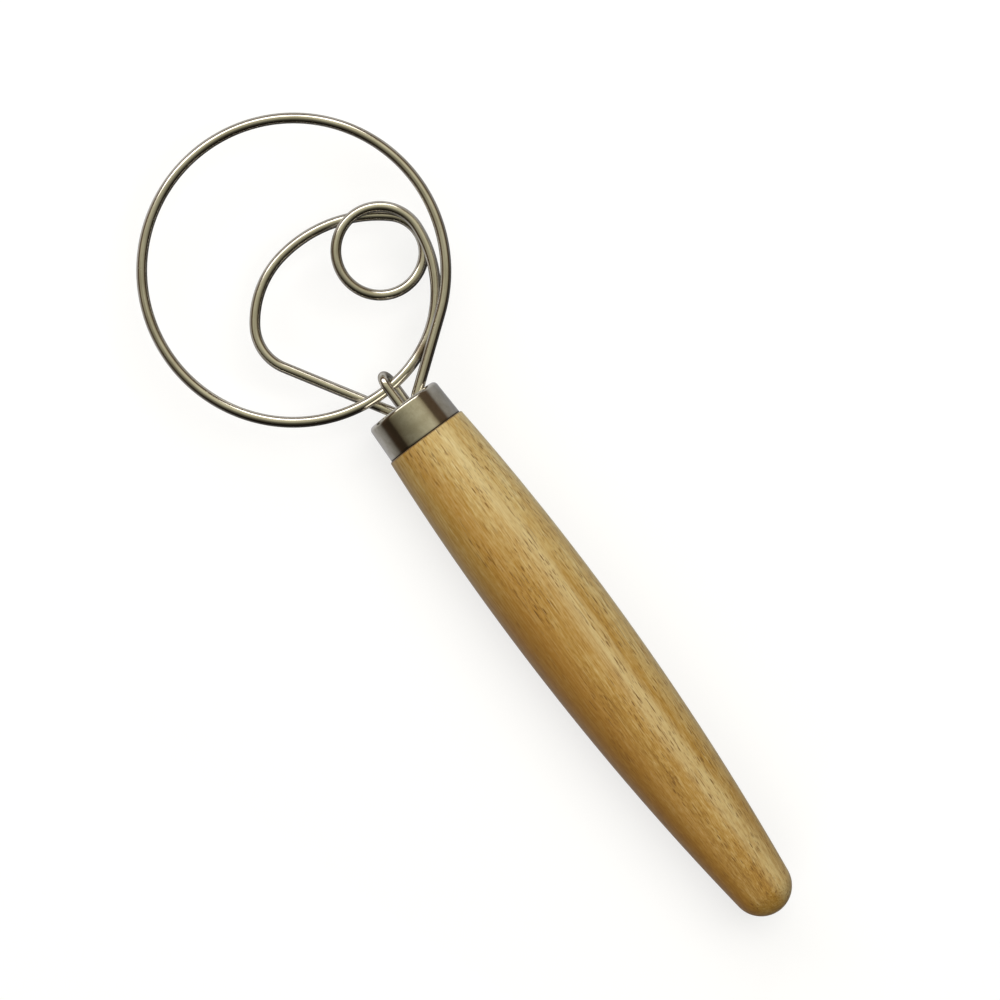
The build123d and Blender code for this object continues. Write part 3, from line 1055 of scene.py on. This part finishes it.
def studio_world():
    """Pale to the camera. For light and reflections it is a dim room: warm grey overhead,
    dark low down, grey below, and darker towards the butt."""
    world = bpy.data.worlds.new("studio_world")
    world.use_nodes = True
    s = Shader(world.node_tree)
    ray = s.add("ShaderNodeTexCoord", output="Generated")
    up = s.part(ray, "Z")
    room = s.ramp(up * 0.5 + 0.5, ROOM_TONES)
    ahead = s.part(ray, "X") * (up * 0.60 + 0.22) + s.part(ray, "Y") * 1.10
    lit = s.fade(ahead, -0.95, 0.80) * 1.48 + 0.10
    room = s.add(
        "ShaderNodeVectorMath", {"operation": "SCALE"}, {0: room, "Scale": lit}, "Vector"
    )
    seen = s.add("ShaderNodeLightPath", output="Is Camera Ray")
    tone = s.blend(seen, room, BACKDROP)
    backdrop = s.add("ShaderNodeBackground", None, {"Color": tone, "Strength": 1.0})
    s.add("ShaderNodeOutputWorld", None, {"Surface": backdrop})
    bpy.context.scene.world = world


class DOUGH_WHISK_OT_studio(bpy.types.Operator):
    """Lays the floor, hangs the soft lights and sets up the camera"""

    bl_idname = "dough_whisk.studio"
    bl_label = "Studio"

    def execute(self, context):
        studio = context.scene.whisk_studio
        bm = bmesh.new()
        bmesh.ops.create_grid(bm, x_segments=4, y_segments=4, size=studio.floor_size)
        bmesh.ops.recalc_face_normals(bm, faces=bm.faces)
        floor = new_object("floor", bm)
        floor.data.materials.append(pale_floor(studio))
        # The room below the horizon stands in for the floor in reflections and bounced light.
        floor.visible_glossy = floor.visible_diffuse = False

        for name, offset, size, power, tone, mirrored in SOFT_BOXES:
            soft_light(name, LIT_MIDDLE + Vector(offset), size, power, tone, mirrored)
        studio_world()

        lens = bpy.data.cameras.new("camera")
        lens.lens, lens.sensor_width = studio.focal_length, 36.0
        lens.clip_start, lens.clip_end = 0.01, 20.0
        camera = bpy.data.objects.new("camera", lens)
        camera.location = HOME + Vector(
            (studio.camera_across, -studio.camera_down, studio.camera_height)
        )
        camera.rotation_euler = (0, 0, studio.camera_turn)
        context.scene.collection.objects.link(camera)
        context.scene.camera = camera
        context.scene.view_settings.view_transform = "Standard"
        return {"FINISHED"}


# ---------------------------------------------------------------- panel
GROUPS = (
    ("whisk_head", WireHead, "dough_whisk.wire"),
    ("whisk_hook", TieHook, "dough_whisk.hook"),
    ("whisk_cap", SteelCap, "dough_whisk.ferrule"),
    ("whisk_handle", TurnedHandle, "dough_whisk.handle"),
    ("whisk_finish", Finish, "dough_whisk.resin"),
    ("whisk_studio", Studio, "dough_whisk.studio"),
)


class DOUGH_WHISK_PT_panel(bpy.types.Panel):
    """Lists the pieces, their sizes and their colours"""

    bl_idname = "DOUGH_WHISK_PT_panel"
    bl_label = "Dough whisk"
    bl_space_type = "VIEW_3D"
    bl_region_type = "UI"
    bl_category = "Dough whisk"

    def draw(self, context):
        for name, group, operator in GROUPS:
            box = self.layout.box()
            box.operator(operator)
            for size in group.__annotations__:
                box.prop(getattr(context.scene, name), size)


OPERATORS = (
    DOUGH_WHISK_OT_wire,
    DOUGH_WHISK_OT_hook,
    DOUGH_WHISK_OT_ferrule,
    DOUGH_WHISK_OT_handle,
    DOUGH_WHISK_OT_resin,
    DOUGH_WHISK_OT_studio,
)


def register():
    for name, group, _ in GROUPS:
        bpy.utils.register_class(group)
        setattr(bpy.types.Scene, name, PointerProperty(type=group))
    for operator in OPERATORS:
        bpy.utils.register_class(operator)
    bpy.utils.register_class(DOUGH_WHISK_PT_panel)


def unregister():
    bpy.utils.unregister_class(DOUGH_WHISK_PT_panel)
    for operator in reversed(OPERATORS):
        bpy.utils.unregister_class(operator)
    for name, group, _ in reversed(GROUPS):
        delattr(bpy.types.Scene, name)
        bpy.utils.unregister_class(group)


def main():
    register()
    bpy.ops.dough_whisk.wire()
    bpy.ops.dough_whisk.hook()
    bpy.ops.dough_whisk.ferrule()
    bpy.ops.dough_whisk.handle()
    bpy.ops.dough_whisk.resin()
    bpy.ops.dough_whisk.studio()


if __name__ == "__main__":
    main()
